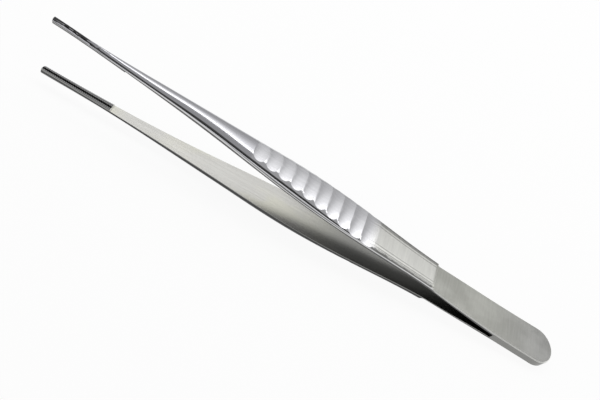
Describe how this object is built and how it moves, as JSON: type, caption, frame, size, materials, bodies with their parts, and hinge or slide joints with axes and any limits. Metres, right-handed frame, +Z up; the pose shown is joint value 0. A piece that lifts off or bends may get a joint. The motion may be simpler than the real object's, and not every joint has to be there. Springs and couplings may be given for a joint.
{
  "type": "thumb forceps",
  "caption": "Steel thumb forceps with two sprung arms joined at a rounded butt, fluted grips, half round shafts and slender jaws with fine cross teeth.",
  "frame": {"origin": "centre of the footprint, on the surface that the forceps lie on", "axes": "+X towards the jaw tips, +Z up from the lower arm to the upper arm, Y across the arms"},
  "size_m": [0.2004, 0.0136, 0.0287],
  "materials": {
    "steel": "satin to polished"
  },
  "bodies": {
    "root": {"upper_arm": "steel", "lower_arm": "steel"}
  },
  "joints": []
}
